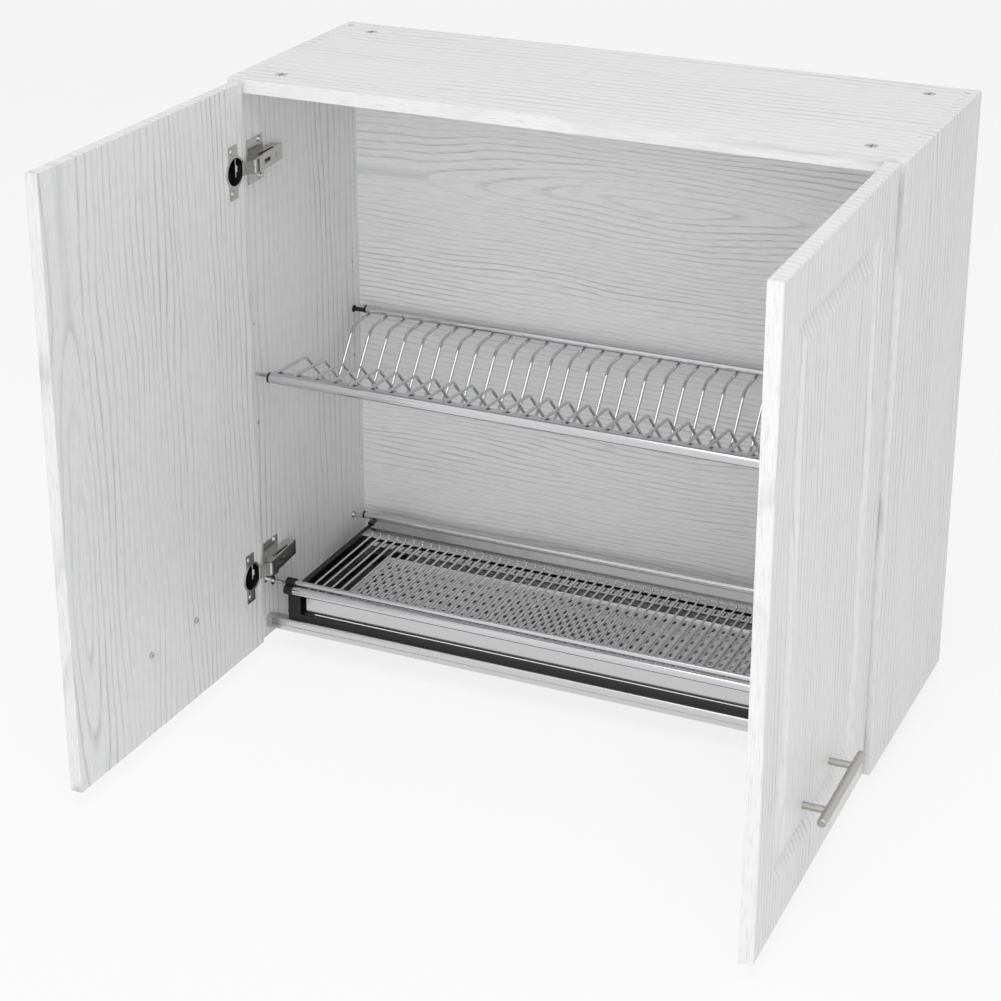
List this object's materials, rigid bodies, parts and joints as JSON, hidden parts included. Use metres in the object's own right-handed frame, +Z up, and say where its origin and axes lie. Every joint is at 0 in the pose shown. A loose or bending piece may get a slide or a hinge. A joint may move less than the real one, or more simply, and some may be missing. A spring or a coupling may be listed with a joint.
{
  "type": "wall dish drainer cabinet",
  "caption": "Wall cabinet with no bottom and two moulded doors, a wire plate rack above a cup rack, and a steel drip tray that slides out under them.",
  "frame": {"origin": "on the wall, at the middle of the two hanging eyes, 40 mm below the cabinet's top", "axes": "+X to the right seen from the front, +Y into the wall, +Z up"},
  "size_m": [0.8628, 0.7019, 0.72],
  "materials": {
    "carcass_board": "matt foil with a pale ash grain",
    "back_board": "matt foil with a pale ash grain",
    "door_foil": "satin foil with a pale ash grain",
    "zinc": "die-cast zinc",
    "beech": "plain",
    "galvanised_steel": "zinc plated",
    "chromed_steel": "polished chrome plate",
    "stainless_steel": "bright rolled sheet",
    "anodised_aluminium": "bright anodised",
    "satin_nickel": "satin nickel plate",
    "nickel_plated_steel": "nickel plate",
    "black_plastic": "matt black"
  },
  "bodies": {
    "cabinet": {"side_left": "carcass_board", "side_right": "carcass_board", "top_panel": "carcass_board", "bottom_rear_rail": "carcass_board", "back_panel": "back_board", "cam_locks": "zinc", "cam_bolts": "zinc", "dowels": "beech", "hanger_plates": "galvanised_steel", "hanger_screws": "galvanised_steel", "rack_rail": "chromed_steel", "rack_rail_pins": "chromed_steel", "valley_tube": "chromed_steel", "rack_rear_tube": "chromed_steel", "plate_wires": "chromed_steel", "cup_rail_upper": "chromed_steel", "cup_rail_lower": "chromed_steel", "cup_rail_pins": "chromed_steel", "cup_wires": "chromed_steel", "cup_rear_tube": "chromed_steel", "arm_pins": "chromed_steel", "splash_strip": "stainless_steel", "rack_lip": "stainless_steel", "front_bar": "anodised_aluminium", "hinge_arms": "nickel_plated_steel", "mounting_plates": "nickel_plated_steel", "plate_screws": "nickel_plated_steel", "adjusting_screws": "nickel_plated_steel", "rack_rail_caps": "black_plastic", "valley_tube_caps": "black_plastic", "rack_rear_sleeves": "black_plastic", "cup_rail_clamps": "black_plastic", "rack_feet": "black_plastic", "cup_rear_caps": "black_plastic", "rack_end_left": "black_plastic", "rack_end_right": "black_plastic", "bar_plugs": "black_plastic", "tray_gasket": "black_plastic"},
    "door_left": {"door_left": "door_foil", "cup_pins_left": "chromed_steel", "handle_bar_left": "satin_nickel", "handle_posts_left": "satin_nickel", "cup_flanges_left": "nickel_plated_steel", "cup_screws_left": "nickel_plated_steel", "handle_screws_left": "nickel_plated_steel", "hinge_cups_left": "black_plastic"},
    "door_right": {"door_right": "door_foil", "cup_pins_right": "chromed_steel", "handle_bar_right": "satin_nickel", "handle_posts_right": "satin_nickel", "cup_flanges_right": "nickel_plated_steel", "cup_screws_right": "nickel_plated_steel", "handle_screws_right": "nickel_plated_steel", "hinge_cups_right": "black_plastic"},
    "hinge_links_left": {"hinge_links_left": "nickel_plated_steel"},
    "hinge_links_right": {"hinge_links_right": "nickel_plated_steel"},
    "drip_tray": {"drip_tray": "stainless_steel", "tray_end_left": "black_plastic", "tray_end_right": "black_plastic", "drain_plate": "stainless_steel"}
  },
  "joints": [
    {"name": "door_left_swing", "type": "hinge", "parent": "cabinet", "child": "door_left", "pos_m": [-0.3888, -0.315, -0.32], "axis": [0, 0, -1], "range_deg": [-91, 0]},
    {"name": "door_right_swing", "type": "hinge", "parent": "cabinet", "child": "door_right", "pos_m": [0.3888, -0.315, -0.32], "axis": [0, 0, 1], "range_deg": [-91, 0]},
    {"name": "hinge_links_left_turn", "type": "hinge", "parent": "cabinet", "child": "hinge_links_left", "pos_m": [-0.369, -0.297, -0.32], "axis": [0, 0, 1], "range_deg": [-14, 0.5]},
    {"name": "hinge_links_right_turn", "type": "hinge", "parent": "cabinet", "child": "hinge_links_right", "pos_m": [0.369, -0.297, -0.32], "axis": [0, 0, -1], "range_deg": [-14, 0.5]},
    {"name": "drip_tray_slide", "type": "slide", "parent": "cabinet", "child": "drip_tray", "axis": [0, -1, 0], "range_m": [0, 0.028]}
  ],
  "couplings": [
    {"joint": "hinge_links_left_turn", "follows": "door_left_swing", "ratio": 0.15},
    {"joint": "hinge_links_right_turn", "follows": "door_right_swing", "ratio": 0.15}
  ]
}
